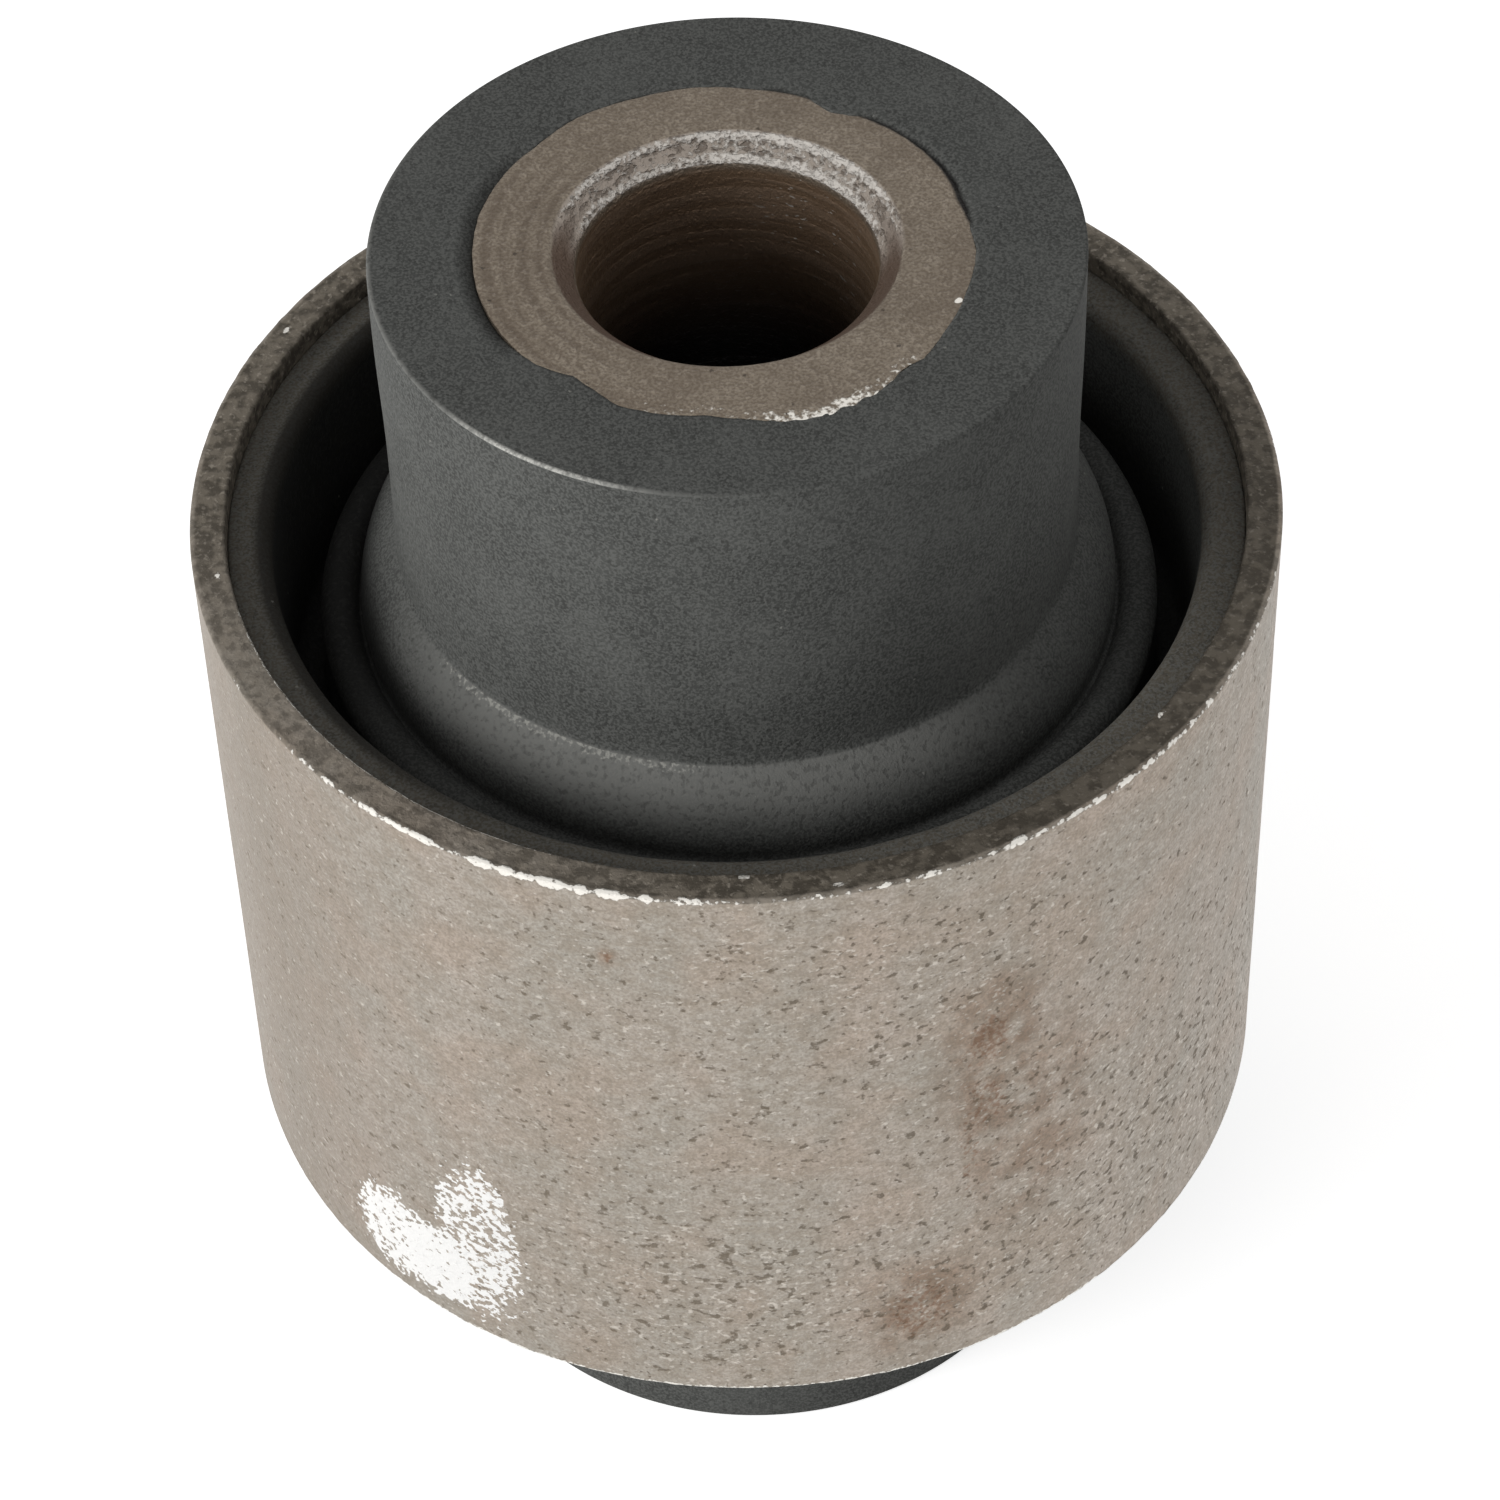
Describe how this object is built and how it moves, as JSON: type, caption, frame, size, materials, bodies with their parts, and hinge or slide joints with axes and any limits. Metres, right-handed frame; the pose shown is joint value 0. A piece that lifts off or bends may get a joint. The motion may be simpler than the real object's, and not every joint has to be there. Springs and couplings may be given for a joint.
{
  "type": "rubber metal bush",
  "caption": "Rubber metal bush: a plain steel sleeve and a thick steel bolt tube joined by a moulded rubber body with a boss and an annular channel at each end.",
  "frame": {"origin": "middle of the bush on its axis, half way between the two end faces of the inner tube", "axes": "+Z along the axis, towards the end that the picture shows; the bush is the same all round the axis and at both ends"},
  "size_m": [0.045, 0.045, 0.0584],
  "materials": {
    "tube_steel": "turned steel, browned, with fine turning marks and a rough bore chamfer",
    "moulded_rubber": "matte black moulded rubber with a little pale dust",
    "sleeve_steel": "grit-blasted pale steel with fine dark pits and a few rust stains"
  },
  "bodies": {
    "root": {"inner_tube": "tube_steel", "rubber_body": "moulded_rubber", "outer_sleeve": "sleeve_steel"}
  },
  "joints": []
}
